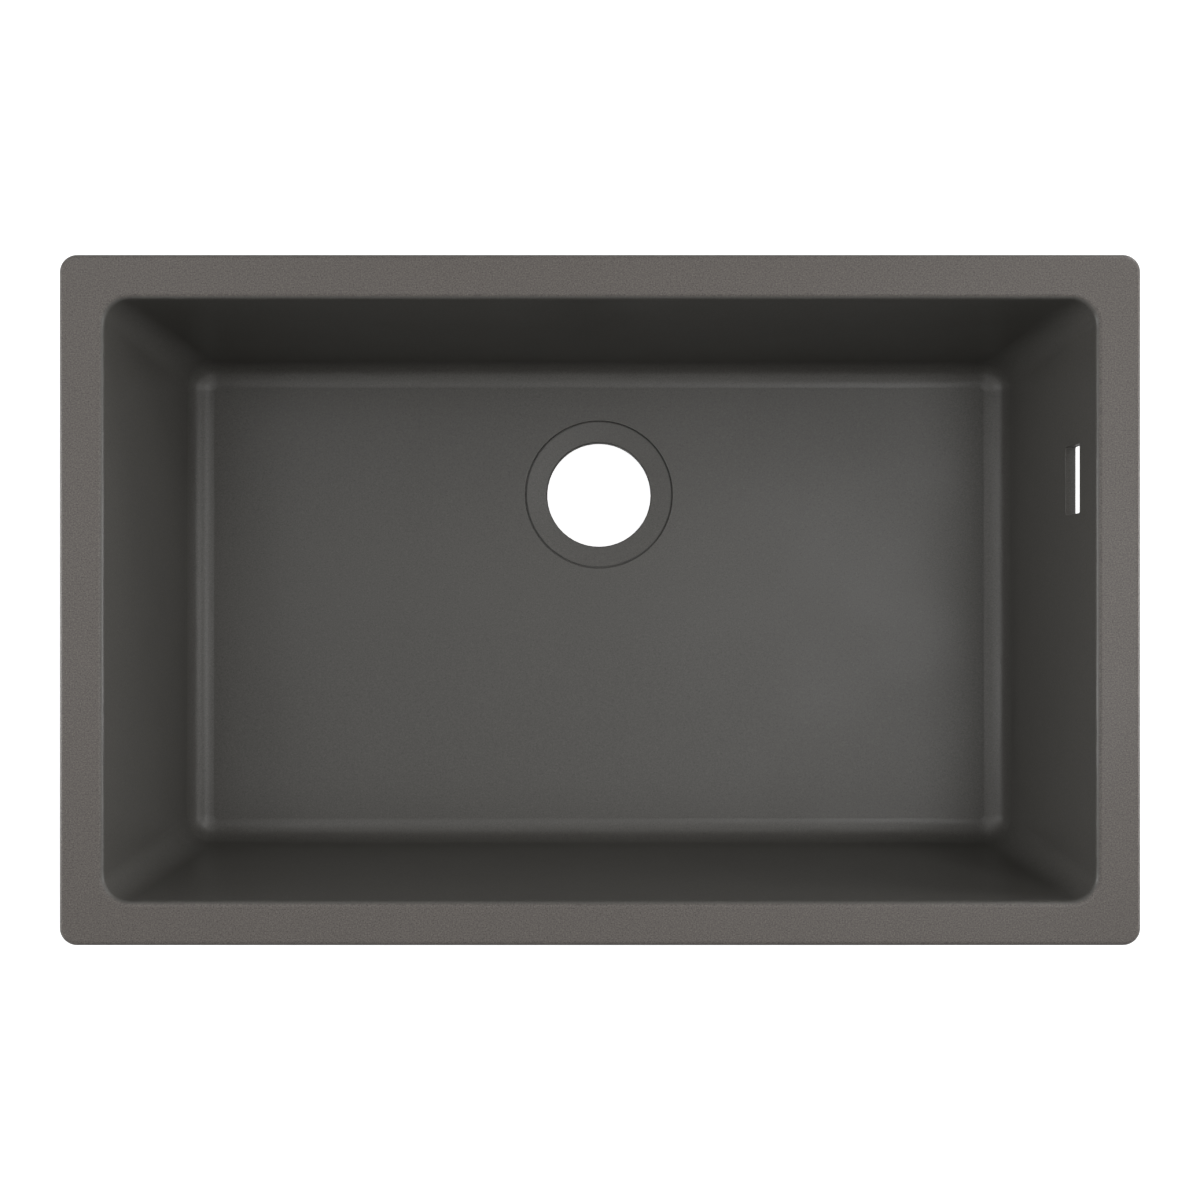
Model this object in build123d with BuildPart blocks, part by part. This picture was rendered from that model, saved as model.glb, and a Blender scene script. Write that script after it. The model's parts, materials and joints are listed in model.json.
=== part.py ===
"""Undermount kitchen sink in granite composite, with the clips that hold it under a worktop.

Millimetres. The origin is the middle of the rim's top face, which meets the worktop's underside.
+X runs along the sink to the wall with the overflow, +Y to the outlet side and +Z is up.
"""

from build123d import *
from math import radians, tan
import os

os.makedirs("parts", exist_ok=True)

# ------------------------------------------------------------------ driving dimensions
# Bowl, measured to the wall planes where they would meet the rim's top face. Its depth is that
# at the front wall, and the floor falls from there to the rear wall, the outlet's side
MOUTH_LENGTH = 651.6
MOUTH_WIDTH = 395.3
MOUTH_CORNER_RADIUS = 17.0
BOWL_DEPTH = 190.0
FLOOR_FALL = 1.5
SIDE_DRAFT = 3.0
FRONT_DRAFT = 4.2
FLOOR_CORNER_RADIUS = 20.5
FLOOR_FILLET = 17.5
LIP_RADIUS = 4.0
WALL_THICKNESS = 8.0
BASE_THICKNESS = 10.0
BASE_FILLET = 24.0

# Rim, reaching out from the wall planes
RIM_REACH = 29.2
RIM_THICKNESS = 12.0
RIM_CORNER_RADIUS = 11.5
RIM_TOP_ROUNDING = 3.0
RIM_UNDER_ROUNDING = 1.0
RIM_ROOT_FILLET = 5.0

# Outlet, set back from the rear wall plane, in a recess with a groove round it
OUTLET_SETBACK = 113.4
OUTLET_DIAMETER = 81.0
OUTLET_ROUNDING = 0.8
RECESS_DIAMETER = 114.6
RECESS_MARGIN = 4.0
RECESS_STEP = 0.6
RECESS_FALL = 1.5
RECESS_ROUNDING = 0.5
GROOVE_WIDTH = 1.3
GROOVE_DEPTH = 3.0

# Pad round the outlet and feet of the same height under the floor
OUTLET_PAD_RIM = 5.0
PAD_HEIGHT = 3.0
PAD_ROUNDING = 1.0
FOOT_DIAMETER = 40.0
FOOT_INSET = 70.0

# Overflow slot in the right-hand wall, set back from the rear wall plane, and its seat outside
SLOT_SETBACK = 114.9
SLOT_LENGTH = 47.0
SLOT_TOP = 31.7
SLOT_HEIGHT = 26.8
SLOT_CORNER_RADIUS = 1.2
SLOT_ROUNDING = 0.3
SLOT_OUTER_ROUNDING = 1.0
SLOT_WALL = 7.4
SEAT_LAND = 8.0
SEAT_CORNER_RADIUS = 6.0

# Screw bosses and threaded inserts on both sides of the seat
OVERFLOW_BOSS_DIAMETER = 12.0
OVERFLOW_BOSS_HEIGHT = 7.0
OVERFLOW_BOSS_GAP = 1.5
OVERFLOW_INSERT_DIAMETER = 5.6
OVERFLOW_INSERT_LENGTH = 7.5
OVERFLOW_SCREW_DIAMETER = 4.0

# Clip stations under the rim: insets from the rim's ends, and bosses
LONG_SIDE_INSET = 115.0
SHORT_SIDE_INSET = 87.0
CLIP_WALL_GAP = 1.5
CLIP_BOSS_DIAMETER = 16.0
CLIP_BOSS_HEIGHT = 6.0

# Threaded inserts in the clip bosses
INSERT_DIAMETER = 9.0
INSERT_LENGTH = 13.0
INSERT_WAIST_DIAMETER = 8.0
INSERT_WAIST_LENGTH = 3.0
THREAD_PLAY = 0.05

# Bolts and washers
BOLT_DIAMETER = 6.0
BOLT_LENGTH = 16.0
BOLT_TIP_CHAMFER = 0.8
HEAD_ACROSS_FLATS = 10.0
HEAD_HEIGHT = 4.0
HEAD_CHAMFER = 0.5
WASHER_DIAMETER = 12.0
WASHER_PLAY = 0.2
WASHER_THICKNESS = 1.6
LOCK_WASHER_DIAMETER = 11.0
LOCK_WASHER_PLAY = 0.15
LOCK_WASHER_THICKNESS = 1.6
LOCK_WASHER_GAP = 1.0

# Mounting clips
CLIP_WIDTH = 16.0
CLIP_THICKNESS = 2.5
CLIP_REACH = 44.0
CLIP_PIVOT_PLAY = 0.3
CLIP_PLAY = 0.1
CLIP_SCREW_DIAMETER = 7.0
CLIP_SCREW_REACH = 34.0
CLIP_TAB_HEIGHT = 6.0
CLIP_BEND_RADIUS = 1.5
CLIP_CORNER_RADIUS = 3.0
BEAD_WIDTH = 6.0
BEAD_WALL = 1.0
BEAD_HEIGHT = 1.0
BEAD_ROUNDING = 0.8
BEAD_START = 8.5
BEAD_END = 27.5

# How far off its place an edge or face may lie and still be picked there
NEAR = 0.01

# ------------------------------------------------------------------ worked-out sizes and places
rim_length = MOUTH_LENGTH + 2 * RIM_REACH
rim_width = MOUTH_WIDTH + 2 * RIM_REACH
underside_z = -(BOWL_DEPTH + BASE_THICKNESS)
standing_z = underside_z - PAD_HEIGHT

outlet_y = MOUTH_WIDTH / 2 - OUTLET_SETBACK

slot_y = MOUTH_WIDTH / 2 - SLOT_SETBACK
slot_z = -(SLOT_TOP + SLOT_HEIGHT / 2)
seat_length = SLOT_LENGTH + 2 * SEAT_LAND
seat_height = SLOT_HEIGHT + 2 * SEAT_LAND
overflow_screw_reach = (seat_length + OVERFLOW_BOSS_DIAMETER) / 2 + OVERFLOW_BOSS_GAP
overflow_screw_points = [(-overflow_screw_reach, 0), (overflow_screw_reach, 0)]

clip_face_z = -(RIM_THICKNESS + CLIP_BOSS_HEIGHT)
washer_z = clip_face_z - CLIP_THICKNESS - CLIP_PLAY
lock_washer_z = washer_z - WASHER_THICKNESS
bolt_head_z = lock_washer_z - LOCK_WASHER_THICKNESS

# Each station: the bolt's place, and the parked clip's direction in degrees from +X
bolt_offset = WALL_THICKNESS + CLIP_WALL_GAP + CLIP_WIDTH / 2
long_side_y = MOUTH_WIDTH / 2 + bolt_offset
short_side_x = MOUTH_LENGTH / 2 + bolt_offset
long_side_x = rim_length / 2 - LONG_SIDE_INSET
short_side_y = rim_width / 2 - SHORT_SIDE_INSET
clip_stations = [
    (-long_side_x, long_side_y, 0),
    (0, long_side_y, 0),
    (long_side_x, long_side_y, 180),
    (short_side_x, short_side_y, 90),
    (short_side_x, -short_side_y, 270),
    (long_side_x, -long_side_y, 180),
    (0, -long_side_y, 0),
    (-long_side_x, -long_side_y, 0),
    (-short_side_x, -short_side_y, 270),
    (-short_side_x, short_side_y, 90),
]
clip_bolt_points = [(x, y) for x, y, heading in clip_stations]


def basin_outline(depth, skin=0.0):
    """Length, width and corner radius of the tapering bowl at a depth, skin outside its wall."""
    length = MOUTH_LENGTH + 2 * (skin - depth * tan(radians(SIDE_DRAFT)))
    width = MOUTH_WIDTH + 2 * (skin - depth * tan(radians(FRONT_DRAFT)))
    widening = (FLOOR_CORNER_RADIUS - MOUTH_CORNER_RADIUS) * depth / BOWL_DEPTH
    return length, width, MOUTH_CORNER_RADIUS + widening + skin


def wall_x(depth):
    """Where the inside of the right-hand wall stands at a depth."""
    return basin_outline(depth)[0] / 2


def between(shapes, axis, low, high):
    """Those of the edges or faces whose middle lies between two places along an axis."""
    return shapes.filter_by_position(axis, low - NEAR, high + NEAR)


def at_height(shapes, z):
    """Those of the edges or faces whose middle is at this height."""
    return between(shapes, Axis.Z, z, z)


# The floor's plane, and how deep it lies at the outlet
floor_length, floor_width = basin_outline(BOWL_DEPTH)[:2]
floor_front = (0, -floor_width / 2, -BOWL_DEPTH)
floor_plane = Plane(floor_front, x_dir=(1, 0, 0), z_dir=(0, FLOOR_FALL, floor_width))
outlet_floor_z = -(BOWL_DEPTH + FLOOR_FALL * (outlet_y / floor_width + 1 / 2))
recess_z = outlet_floor_z - RECESS_STEP

# ------------------------------------------------------------------ hollow of the bowl
with BuildPart() as hollow:
    for depth in (0, BOWL_DEPTH + 2 * FLOOR_FALL):
        with BuildSketch(Plane.XY.offset(-depth)):
            RectangleRounded(*basin_outline(depth))
    loft(ruled=True)
    split(bisect_by=floor_plane, keep=Keep.TOP)
    floor = hollow.faces().sort_by(Axis.Z)[0]
    fillet(floor.edges(), radius=FLOOR_FILLET)

# ------------------------------------------------------------------ bowl
with BuildPart() as bowl:
    # Outside of the basin, under the rim
    for depth in (0, BOWL_DEPTH + BASE_THICKNESS):
        with BuildSketch(Plane.XY.offset(-depth)):
            RectangleRounded(*basin_outline(depth, WALL_THICKNESS))
    loft(ruled=True)
    fillet(bowl.faces().sort_by(Axis.Z)[0].edges(), radius=BASE_FILLET)

    # Rim
    with BuildSketch():
        RectangleRounded(rim_length, rim_width, RIM_CORNER_RADIUS)
    extrude(amount=-RIM_THICKNESS)
    rim_under = at_height(bowl.faces().filter_by(Axis.Z), -RIM_THICKNESS)[0]
    fillet(rim_under.inner_wires()[0].edges(), radius=RIM_ROOT_FILLET)
    rim_under = at_height(bowl.faces().filter_by(Axis.Z), -RIM_THICKNESS)[0]
    fillet(rim_under.outer_wire().edges(), radius=RIM_UNDER_ROUNDING)
    rim_top = at_height(bowl.faces().filter_by(Axis.Z), 0)[0]
    fillet(rim_top.outer_wire().edges(), radius=RIM_TOP_ROUNDING)

    # Mouth of the bowl
    add(hollow.part, mode=Mode.SUBTRACT)
    rim_top = at_height(bowl.faces().filter_by(Axis.Z), 0)[0]
    fillet(rim_top.inner_wires()[0].edges(), radius=LIP_RADIUS)

    # Pad round the outlet and four feet, all of one height, so that the sink stands on them
    with BuildSketch(Plane.XY.offset(underside_z)):
        with Locations((0, outlet_y)):
            Circle(RECESS_DIAMETER / 2 + OUTLET_PAD_RIM)
        with GridLocations(floor_length - 2 * FOOT_INSET, floor_width - 2 * FOOT_INSET, 2, 2):
            Circle(FOOT_DIAMETER / 2)
    extrude(amount=-PAD_HEIGHT)
    fillet(bowl.faces().filter_by(Axis.Z).group_by(Axis.Z)[0].edges(), radius=PAD_ROUNDING)

    # Outlet hole, its recess falling to the hole, and the groove round the recess
    outlet_axis = Axis((0, outlet_y, 0), (0, 0, 1))
    recess_radius = RECESS_DIAMETER / 2
    with BuildSketch(Plane.XZ.offset(-outlet_y)):
        with BuildLine():
            Polyline(
                (0, outlet_floor_z + RECESS_MARGIN),
                (recess_radius, outlet_floor_z + RECESS_MARGIN),
                (recess_radius, recess_z - GROOVE_DEPTH),
                (recess_radius - GROOVE_WIDTH, recess_z - GROOVE_DEPTH),
                (recess_radius - GROOVE_WIDTH, recess_z),
                (OUTLET_DIAMETER / 2, recess_z - RECESS_FALL),
                (OUTLET_DIAMETER / 2, standing_z - RECESS_MARGIN),
                (0, standing_z - RECESS_MARGIN),
                close=True,
            )
        make_face()
    revolve(axis=outlet_axis, mode=Mode.SUBTRACT)
    outlet_circles = bowl.edges().filter_by(GeomType.CIRCLE)
    outlet_lip = at_height(outlet_circles, recess_z - RECESS_FALL)
    fillet(outlet_lip, radius=OUTLET_ROUNDING)
    recess_lips = bowl.edges().filter_by(GeomType.ELLIPSE)
    fillet(recess_lips.sort_by_distance((0, outlet_y, outlet_floor_z))[0], radius=RECESS_ROUNDING)

    # Overflow: a flat seat outside, then the slot through the wall
    seat_x = wall_x(SLOT_TOP + SLOT_HEIGHT) + SLOT_WALL
    with BuildSketch(Plane.YZ.offset(seat_x)):
        with Locations((slot_y, slot_z)):
            RectangleRounded(seat_length, seat_height, SEAT_CORNER_RADIUS)
    extrude(amount=WALL_THICKNESS, mode=Mode.SUBTRACT)
    with BuildSketch(Plane.YZ.offset(seat_x)):
        with Locations((slot_y, slot_z)):
            with Locations(*overflow_screw_points):
                Circle(OVERFLOW_BOSS_DIAMETER / 2)
    extrude(amount=OVERFLOW_BOSS_HEIGHT)
    with BuildSketch(Plane.YZ.offset(seat_x + OVERFLOW_BOSS_HEIGHT)):
        with Locations((slot_y, slot_z)):
            with Locations(*overflow_screw_points):
                Circle(OVERFLOW_INSERT_DIAMETER / 2)
    extrude(amount=-OVERFLOW_INSERT_LENGTH, mode=Mode.SUBTRACT)
    with BuildSketch(Plane.YZ.offset(seat_x)):
        with Locations((slot_y, slot_z)):
            RectangleRounded(SLOT_LENGTH, SLOT_HEIGHT, SLOT_CORNER_RADIUS)
    extrude(amount=-2 * WALL_THICKNESS, mode=Mode.SUBTRACT)
    slot_edges = between(bowl.edges(), Axis.Y, slot_y - SLOT_LENGTH / 2, slot_y + SLOT_LENGTH / 2)
    slot_edges = between(slot_edges, Axis.Z, -(SLOT_TOP + SLOT_HEIGHT), -SLOT_TOP)
    slot_mouth = between(slot_edges, Axis.X, wall_x(SLOT_TOP + SLOT_HEIGHT), wall_x(SLOT_TOP))
    fillet(slot_mouth, radius=SLOT_ROUNDING)
    fillet(between(slot_edges, Axis.X, seat_x, seat_x), radius=SLOT_OUTER_ROUNDING)

    # Bosses for the clip bolts, with blind holes for the inserts
    with BuildSketch(Plane.XY.offset(-RIM_THICKNESS)):
        with Locations(*clip_bolt_points):
            Circle(CLIP_BOSS_DIAMETER / 2)
    extrude(amount=-CLIP_BOSS_HEIGHT)
    with BuildSketch(Plane.XY.offset(clip_face_z)):
        with Locations(*clip_bolt_points):
            Circle(INSERT_DIAMETER / 2)
    extrude(amount=INSERT_LENGTH, mode=Mode.SUBTRACT)
bowl.part.label = "bowl"
export_step(bowl.part, "parts/bowl.step")


# ------------------------------------------------------------------ inserts, bolts and washers
def ring(z, outer_diameter, inner_diameter, height):
    """Flat rings at the clip stations, from z downwards."""
    with BuildSketch(Plane.XY.offset(z)) as rings:
        with Locations(*clip_bolt_points):
            Circle(outer_diameter / 2)
            Circle(inner_diameter / 2, mode=Mode.SUBTRACT)
    extrude(rings.sketch, amount=-height)


with BuildPart() as clip_inserts:
    insert_top = clip_face_z + INSERT_LENGTH
    thread_diameter = BOLT_DIAMETER + 2 * THREAD_PLAY
    knurl_length = (INSERT_LENGTH - INSERT_WAIST_LENGTH) / 2
    ring(insert_top, INSERT_DIAMETER, thread_diameter, knurl_length)
    ring(insert_top - knurl_length, INSERT_WAIST_DIAMETER, thread_diameter, INSERT_WAIST_LENGTH)
    ring(clip_face_z + knurl_length, INSERT_DIAMETER, thread_diameter, knurl_length)
clip_inserts.part.label = "clip_inserts"
export_step(clip_inserts.part, "parts/clip_inserts.step")

with BuildPart() as clip_washers:
    ring(washer_z, WASHER_DIAMETER, BOLT_DIAMETER + 2 * WASHER_PLAY, WASHER_THICKNESS)
clip_washers.part.label = "clip_washers"
export_step(clip_washers.part, "parts/clip_washers.step")

with BuildPart() as clip_lock_washers:
    lock_washer_hole = BOLT_DIAMETER + 2 * LOCK_WASHER_PLAY
    ring(lock_washer_z, LOCK_WASHER_DIAMETER, lock_washer_hole, LOCK_WASHER_THICKNESS)
    # The split that makes it a spring
    with BuildSketch(Plane.XY.offset(lock_washer_z)):
        with Locations(*clip_bolt_points):
            with Locations((LOCK_WASHER_DIAMETER / 2, 0)):
                Rectangle(LOCK_WASHER_DIAMETER / 2, LOCK_WASHER_GAP)
    extrude(amount=-LOCK_WASHER_THICKNESS, mode=Mode.SUBTRACT)
clip_lock_washers.part.label = "clip_lock_washers"
export_step(clip_lock_washers.part, "parts/clip_lock_washers.step")

with BuildPart() as clip_bolts:
    with BuildSketch(Plane.XY.offset(bolt_head_z)):
        with Locations(*clip_bolt_points):
            RegularPolygon(HEAD_ACROSS_FLATS / 2, 6, major_radius=False)
    extrude(amount=-HEAD_HEIGHT)
    chamfer(clip_bolts.faces().filter_by(Axis.Z).group_by(Axis.Z)[0].edges(), length=HEAD_CHAMFER)
    with BuildSketch(Plane.XY.offset(bolt_head_z)):
        with Locations(*clip_bolt_points):
            Circle(BOLT_DIAMETER / 2)
    extrude(amount=BOLT_LENGTH)
    chamfer(clip_bolts.faces().filter_by(Axis.Z).group_by(Axis.Z)[-1].edges(), length=BOLT_TIP_CHAMFER)
clip_bolts.part.label = "clip_bolts"
export_step(clip_bolts.part, "parts/clip_bolts.step")

with BuildPart() as overflow_inserts:
    with BuildSketch(Plane.YZ.offset(seat_x + OVERFLOW_BOSS_HEIGHT)):
        with Locations((slot_y, slot_z)):
            with Locations(*overflow_screw_points):
                Circle(OVERFLOW_INSERT_DIAMETER / 2)
                Circle(OVERFLOW_SCREW_DIAMETER / 2, mode=Mode.SUBTRACT)
    extrude(amount=-OVERFLOW_INSERT_LENGTH)
overflow_inserts.part.label = "overflow_inserts"
export_step(overflow_inserts.part, "parts/overflow_inserts.step")

# ------------------------------------------------------------------ mounting clips
# One clip about its own pivot: a flat strap, round about its bolt, with a tab turned down at its
# far end, a pressed bead along its middle and a hole for the worktop's screw
with BuildPart() as clip_pattern:
    with BuildSketch():
        Circle(CLIP_WIDTH / 2)
        with Locations((CLIP_REACH / 2, 0)):
            Rectangle(CLIP_REACH, CLIP_WIDTH)
    extrude(amount=-CLIP_THICKNESS)
    with BuildSketch():
        with Locations((CLIP_REACH - CLIP_THICKNESS / 2, 0)):
            Rectangle(CLIP_THICKNESS, CLIP_WIDTH)
    extrude(amount=-CLIP_THICKNESS - CLIP_TAB_HEIGHT)

    tab_corners = clip_pattern.edges().filter_by(Axis.X).group_by(Axis.Z)[0]
    fillet(tab_corners, radius=CLIP_CORNER_RADIUS)
    bend_outside = clip_pattern.edges().filter_by(Axis.Y).group_by(Axis.Z)[-1].sort_by(Axis.X)[-1]
    fillet(bend_outside, radius=CLIP_BEND_RADIUS + CLIP_THICKNESS)
    bend_inside = at_height(clip_pattern.edges().filter_by(Axis.Y), -CLIP_THICKNESS)
    fillet(bend_inside, radius=CLIP_BEND_RADIUS)

    bead_length = BEAD_END - BEAD_START
    with BuildSketch(Plane.XY.offset(-CLIP_THICKNESS)):
        with Locations((BEAD_START + bead_length / 2, 0)):
            SlotOverall(bead_length, BEAD_WIDTH)
    extrude(amount=-BEAD_HEIGHT)
    bead_crown = at_height(clip_pattern.faces().filter_by(Axis.Z), -CLIP_THICKNESS - BEAD_HEIGHT)
    fillet(bead_crown.edges(), radius=BEAD_ROUNDING)
    with BuildSketch():
        with Locations((BEAD_START + bead_length / 2, 0)):
            SlotOverall(bead_length - 2 * BEAD_WALL, BEAD_WIDTH - 2 * BEAD_WALL)
    extrude(amount=-BEAD_HEIGHT, mode=Mode.SUBTRACT)

    with Locations((0, 0)):
        Hole(BOLT_DIAMETER / 2 + CLIP_PIVOT_PLAY)
    with Locations((CLIP_SCREW_REACH, 0)):
        Hole(CLIP_SCREW_DIAMETER / 2)

for number, (bolt_x, bolt_y, heading) in enumerate(clip_stations, start=1):
    name = f"mounting_clip_{number:02d}"
    with BuildPart() as mounting_clip:
        with Locations(Location((bolt_x, bolt_y, clip_face_z), (0, 0, heading))):
            add(clip_pattern.part)
    mounting_clip.part.label = name
    export_step(mounting_clip.part, f"parts/{name}.step")
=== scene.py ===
# %% [markdown]
# # An undermount sink in granite composite
#
# The sink is one heavy casting: a flat rim, four drafted walls, a floor that falls to the outlet,
# and a slot in the right-hand wall for the overflow. Under the rim sit ten steel clips, each held
# by a hex bolt in a brass insert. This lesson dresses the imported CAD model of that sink. The
# casting keeps its CAD mesh and gets a stone finish. The small metal parts are modelled afresh,
# with the threads, knurls and pressed edges that a camera finds from below.

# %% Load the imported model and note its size
import json
from math import atan2, cos, pi, radians, sin, tan, tau

import bmesh
import bpy
from mathutils import Matrix, Vector

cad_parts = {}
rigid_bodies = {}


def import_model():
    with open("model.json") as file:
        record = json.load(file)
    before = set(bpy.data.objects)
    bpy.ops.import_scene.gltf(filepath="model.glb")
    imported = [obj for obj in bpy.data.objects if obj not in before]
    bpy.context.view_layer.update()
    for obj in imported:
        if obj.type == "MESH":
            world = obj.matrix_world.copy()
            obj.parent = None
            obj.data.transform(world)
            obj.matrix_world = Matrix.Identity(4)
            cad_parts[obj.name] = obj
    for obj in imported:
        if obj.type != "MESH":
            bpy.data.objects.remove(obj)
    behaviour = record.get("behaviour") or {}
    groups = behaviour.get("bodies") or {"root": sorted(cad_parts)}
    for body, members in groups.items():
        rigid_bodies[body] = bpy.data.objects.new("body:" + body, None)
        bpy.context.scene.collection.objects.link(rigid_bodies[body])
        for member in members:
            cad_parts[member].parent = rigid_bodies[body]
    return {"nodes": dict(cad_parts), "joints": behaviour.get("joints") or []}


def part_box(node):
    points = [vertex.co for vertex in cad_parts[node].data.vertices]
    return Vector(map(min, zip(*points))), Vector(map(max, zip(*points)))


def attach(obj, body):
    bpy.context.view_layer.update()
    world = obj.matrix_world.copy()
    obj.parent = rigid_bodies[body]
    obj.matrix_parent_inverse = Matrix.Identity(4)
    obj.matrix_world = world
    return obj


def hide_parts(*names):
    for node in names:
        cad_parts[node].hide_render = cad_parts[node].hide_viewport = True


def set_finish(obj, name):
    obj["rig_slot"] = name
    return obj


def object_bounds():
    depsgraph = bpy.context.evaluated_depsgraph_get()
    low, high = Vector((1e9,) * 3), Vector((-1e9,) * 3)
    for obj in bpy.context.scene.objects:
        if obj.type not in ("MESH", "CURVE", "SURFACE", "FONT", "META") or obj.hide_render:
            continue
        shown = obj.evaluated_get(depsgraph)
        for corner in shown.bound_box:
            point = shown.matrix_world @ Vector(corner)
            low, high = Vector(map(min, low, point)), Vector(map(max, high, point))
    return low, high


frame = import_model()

cad_box = [list(corner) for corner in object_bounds()]
print("CAD box in metres:", cad_box)

# %% [markdown]
# ## The camera
#
# The photograph looks straight down from about a metre above the rim. The rim's edges are
# parallel, so the camera isn't tilted, and a lens of 47 mm on the usual 36 mm sensor frames the
# rim as the photograph does. The rim is in the middle of the picture, yet the rear wall shows a
# little wider than the front one, and the left wall narrower than the right one. So the camera
# hung a centimetre forward of the middle and a few millimetres to the left, and the picture was
# centred on the rim afterwards. Shift does the same in Blender: it slides the frame over what the
# lens sees, and bends no line. The camera looks along its own -Z with +Y up, so it isn't turned.

# %% Hang the camera over the bowl
CAMERA_PLACE = Vector((-0.0045, -0.0115, 1.0226))
CAMERA_LENS = 46.8
SENSOR_WIDTH = 36.0

camera_data = bpy.data.cameras.new("photo_camera")
camera_data.lens = CAMERA_LENS
camera_data.sensor_width = SENSOR_WIDTH
shift_per_metre = CAMERA_LENS / SENSOR_WIDTH / CAMERA_PLACE.z
camera_data.shift_x = -CAMERA_PLACE.x * shift_per_metre
camera_data.shift_y = -CAMERA_PLACE.y * shift_per_metre
print("shift:", round(camera_data.shift_x, 4), round(camera_data.shift_y, 4))
camera = bpy.data.objects.new("photo_camera", camera_data)
camera.location = CAMERA_PLACE
bpy.context.collection.objects.link(camera)
bpy.context.scene.camera = camera
bpy.context.scene.view_settings.view_transform = "Standard"

# %% [markdown]
# ## Where the clips sit
#
# The model's joints already know where each clip turns, so nothing is typed in twice. A joint
# gives the bolt's place, and the middle of the parked clip's box shows which way the clip points.

# %% Read the stations from the joints
stations = {}
for joint in frame["joints"]:
    clip_name = joint["child"]
    low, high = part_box(clip_name)
    pivot = Vector(joint["pos_m"])
    arm = (low + high) / 2 - pivot
    stations[clip_name] = (Vector((pivot.x, pivot.y, high.z)), atan2(arm.y, arm.x))
print(len(stations), "stations, first:", stations["mounting_clip_01"])

# %% [markdown]
# ## Working in edit mode from a script
#
# A modeller clicks on a face and then presses a key. A script has no mouse, so it picks faces,
# edges and points by where they are, and then calls the same operators. These small helpers do
# the picking. Each one starts from nothing selected, because an operator acts on all that is.


# %% Open and close a piece
def take_up(piece):
    """Selects one piece alone and makes it active."""
    bpy.ops.object.select_all(action="DESELECT")
    piece.select_set(True)
    bpy.context.view_layer.objects.active = piece


def open_piece(piece):
    """Takes a piece up and opens it in edit mode with nothing selected."""
    take_up(piece)
    bpy.ops.object.mode_set(mode="EDIT")
    bpy.ops.mesh.select_all(action="DESELECT")


def close_piece():
    """Turns every face outwards and goes back to object mode."""
    bpy.ops.mesh.select_mode(type="FACE")
    bpy.ops.mesh.select_all(action="SELECT")
    bpy.ops.mesh.normals_make_consistent(inside=False)
    bpy.ops.object.mode_set(mode="OBJECT")


# %% Pick parts of a piece by their place
def ready_to_pick(piece, kind):
    """Deselects everything and gives the open mesh, to pick points, edges or faces in."""
    bpy.ops.mesh.select_mode(type=kind)
    bpy.ops.mesh.select_all(action="DESELECT")
    return bmesh.from_edit_mesh(piece.data)


def pick_faces(piece, wanted):
    """Selects the faces whose middle and normal are wanted."""
    shape = ready_to_pick(piece, "FACE")
    for face in shape.faces:
        face.select_set(wanted(face.calc_center_median(), face.normal))
    bmesh.update_edit_mesh(piece.data)


def pick_edges(piece, wanted):
    """Selects the edges whose middle and run, from one end to the other, are wanted."""
    shape = ready_to_pick(piece, "EDGE")
    for edge in shape.edges:
        start, end = (corner.co for corner in edge.verts)
        edge.select_set(wanted((start + end) / 2, end - start))
    bmesh.update_edit_mesh(piece.data)


def pick_points(piece, wanted):
    """Selects the points whose place is wanted."""
    shape = ready_to_pick(piece, "VERT")
    for point in shape.verts:
        point.select_set(wanted(point.co))
    shape.select_flush_mode()
    bmesh.update_edit_mesh(piece.data)


# %% Name, join and finish pieces
MM = 0.001
SOFT_SEGMENTS = 2
SOFT_ABOVE = radians(35)


def added_piece(name):
    """Names the primitive that was just added, and puts its place into its mesh."""
    bpy.ops.object.transform_apply(location=True, rotation=True, scale=True)
    piece = bpy.context.object
    piece.name = name
    piece.data.name = name
    return piece


def apply_step(piece, step):
    """Applies a modifier, so that what it made becomes plain mesh."""
    take_up(piece)
    bpy.ops.object.modifier_apply(modifier=step.name)


def shape_with(piece, tool, way):
    """Unites a piece with a tool, cuts the tool out of it, or keeps what both share."""
    step = piece.modifiers.new("shaping", "BOOLEAN")
    step.operation = way
    step.object = tool
    step.solver = "EXACT"
    apply_step(piece, step)
    bpy.data.objects.remove(tool)


def soften_edges(piece, width):
    """Rounds every edge that turns sharply, and shades the piece smooth between them."""
    step = piece.modifiers.new("softening", "BEVEL")
    step.width = width
    step.segments = SOFT_SEGMENTS
    step.limit_method = "ANGLE"
    step.angle_limit = SOFT_ABOVE
    step.use_clamp_overlap = True
    apply_step(piece, step)
    bpy.ops.object.shade_smooth_by_angle(angle=SOFT_ABOVE)


# %% [markdown]
# ## Turned parts
#
# Inserts, washers and shanks come off a lathe or look as if they did. On a lathe the maker steps
# along the part and sets a new diameter each time. The same is done here: a disc is extruded to
# each next height and resized to each next radius. Spinning a profile would do too, but the steps
# read like a drawing of the part, bottom to top.


# %% Turn a part step by step
def turned_part(name, sides, steps):
    """A closed turned part through (radius, height) steps, from the bottom up."""
    bpy.ops.object.select_all(action="DESELECT")
    radius, height = steps[0]
    bpy.ops.mesh.primitive_circle_add(
        vertices=sides, radius=radius, fill_type="NGON", location=(0, 0, height)
    )
    piece = added_piece(name)
    open_piece(piece)
    bpy.ops.mesh.select_all(action="SELECT")
    for next_radius, next_height in steps[1:]:
        rise = (0, 0, next_height - height)
        bpy.ops.mesh.extrude_region_move(TRANSFORM_OT_translate={"value": rise})
        growth = next_radius / radius
        bpy.ops.transform.resize(value=(growth, growth, 1), center_override=(0, 0, next_height))
        radius, height = next_radius, next_height
    close_piece()
    return piece


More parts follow.
